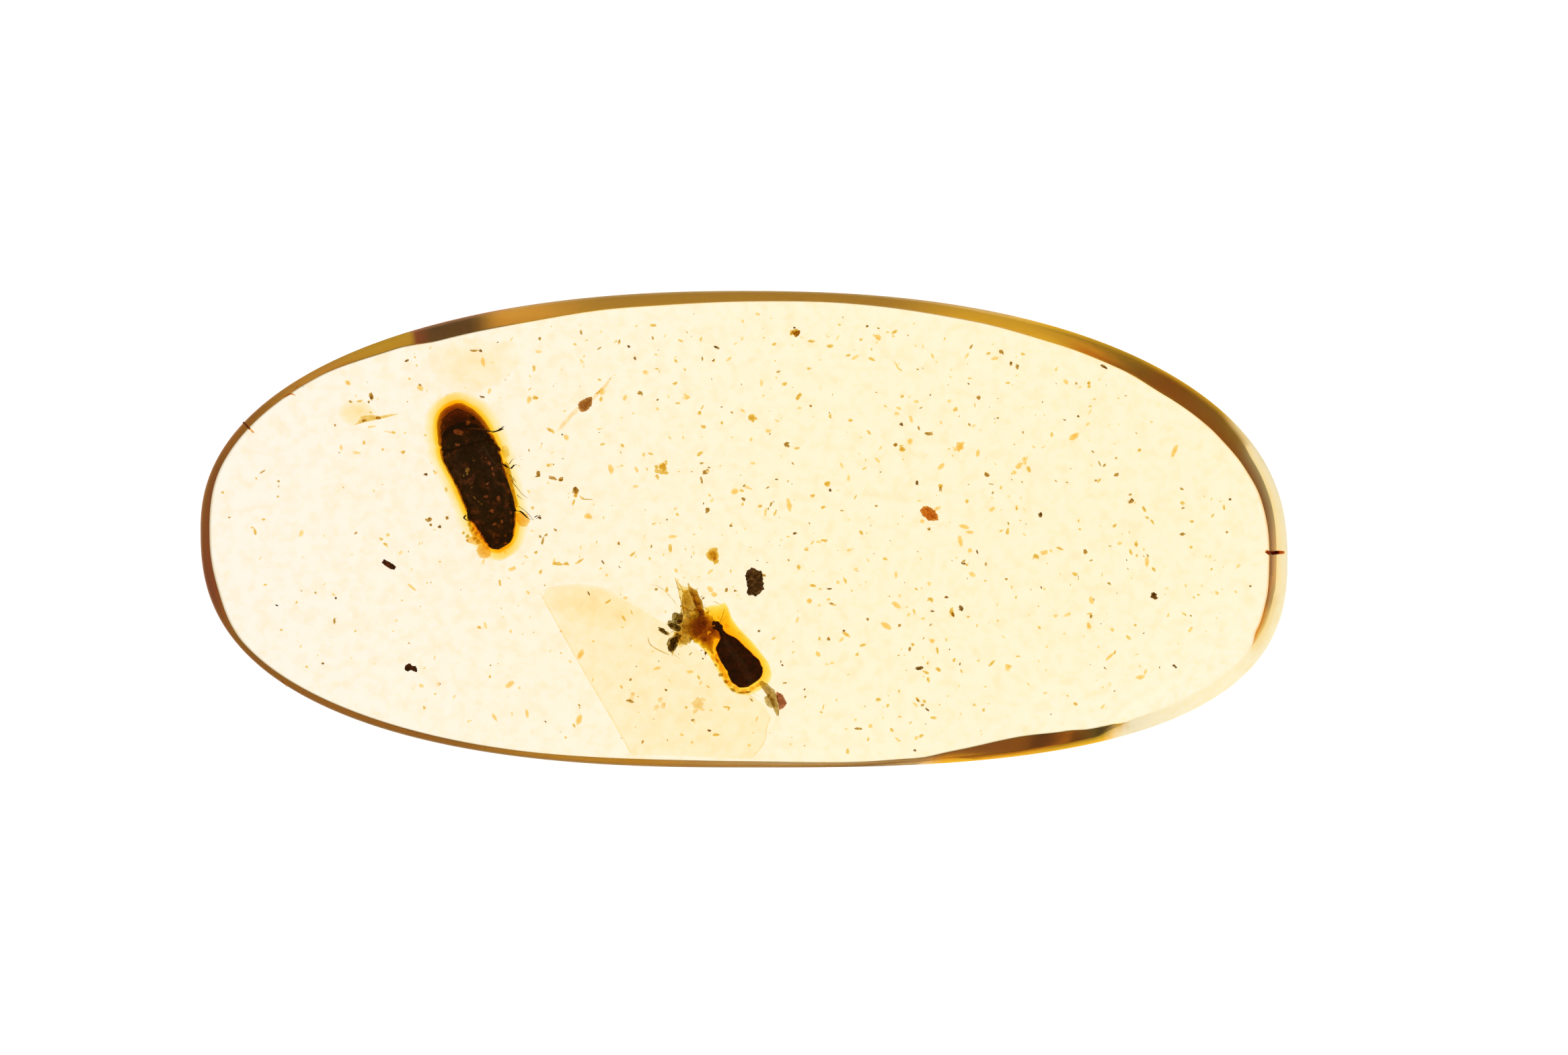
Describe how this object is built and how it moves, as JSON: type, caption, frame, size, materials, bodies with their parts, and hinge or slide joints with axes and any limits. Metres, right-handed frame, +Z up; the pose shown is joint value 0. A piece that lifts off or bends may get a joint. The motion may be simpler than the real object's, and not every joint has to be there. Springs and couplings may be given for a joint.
{
  "type": "insect in amber",
  "caption": "Long oval amber cabochon with a flat base, steep sides and a low domed top, sealing small dark beetles and plant scraps.",
  "frame": {"origin": "middle of the flat base's plane, under the middle of the stone's box", "axes": "+X along the stone's length, +Y across it, +Z up out of the domed top"},
  "size_m": [0.02, 0.0088, 0.0036],
  "materials": {
    "amber": "clear golden amber, polished",
    "dark_chitin": "near-black brown beetle cuticle",
    "brown_chitin": "dark red-brown beetle cuticle",
    "green_leaf": "olive brown plant tissue",
    "grey_leaf": "grey-green plant tissue",
    "red_mineral": "reddish brown grain",
    "dark_soil": "rough dark brown crumb",
    "seed_coat": "pale brown seed",
    "red_resin": "red-orange resin bead",
    "dark_wood": "dark brown wood"
  },
  "bodies": {
    "root": {"amber_lower": "amber", "amber_upper": "amber", "large_beetle": "dark_chitin", "small_beetle": "brown_chitin", "leafy_sprig": "green_leaf", "plant_blade": "grey_leaf", "red_grain": "red_mineral", "dark_pellet": "dark_soil", "seed": "seed_coat", "resin_bead": "red_resin", "wood_splinter": "dark_wood", "dark_crumb": "dark_soil"}
  },
  "joints": []
}
